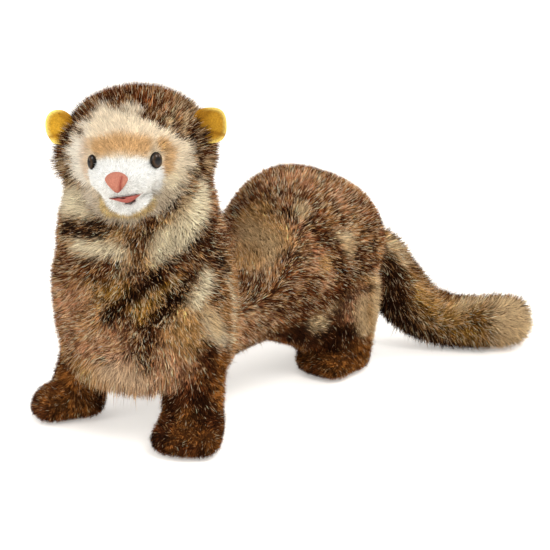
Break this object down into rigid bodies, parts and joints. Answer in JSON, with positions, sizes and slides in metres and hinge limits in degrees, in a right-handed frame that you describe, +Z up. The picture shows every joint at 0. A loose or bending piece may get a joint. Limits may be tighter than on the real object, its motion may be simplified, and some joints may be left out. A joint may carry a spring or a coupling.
{
  "type": "plush ferret toy",
  "caption": "Standing stuffed ferret toy with a turned head, button eyes, felt smile, arched back, four short legs and a bushy tail laid along the floor.",
  "frame": {"origin": "on the floor, below the middle of the bounding box of the whole toy, tail included", "axes": "+Z up, -Y the way the chest faces, +X the animal's left; the head is turned to its left and the hindquarters and tail curve to its left"},
  "size_m": [0.2524, 0.4262, 0.2594],
  "materials": {
    "plush_grizzled_brown": "long woven plush, brown with lighter tips",
    "plush_dark_brown": "short dense plush",
    "plush_tail_brown": "long plush, paler towards the tip",
    "plush_cream": "long plush, dark brown over the crown",
    "plush_white": "very short velour plush",
    "felt_red": "matt felt",
    "fabric_coral": "matt short-nap cloth",
    "button_black": "polished domed button",
    "suede_cloth_mustard": "brushed suede cloth"
  },
  "bodies": {
    "root": {"chest": "plush_grizzled_brown", "neck": "plush_cream", "torso": "plush_grizzled_brown", "rump": "plush_grizzled_brown", "foreleg_left": "plush_dark_brown", "forepaw_left": "plush_dark_brown", "foreleg_right": "plush_dark_brown", "forepaw_right": "plush_dark_brown", "hindleg_left": "plush_dark_brown", "hindpaw_left": "plush_dark_brown", "hindleg_right": "plush_dark_brown", "hindpaw_right": "plush_dark_brown", "tail_base": "plush_tail_brown", "tail_brush": "plush_tail_brown", "head": "plush_cream", "muzzle": "plush_white", "jaw": "plush_white", "mouth_lining": "felt_red", "nose": "fabric_coral", "eye_left": "button_black", "eye_right": "button_black", "ear_left": "suede_cloth_mustard", "ear_right": "suede_cloth_mustard"}
  },
  "joints": []
}
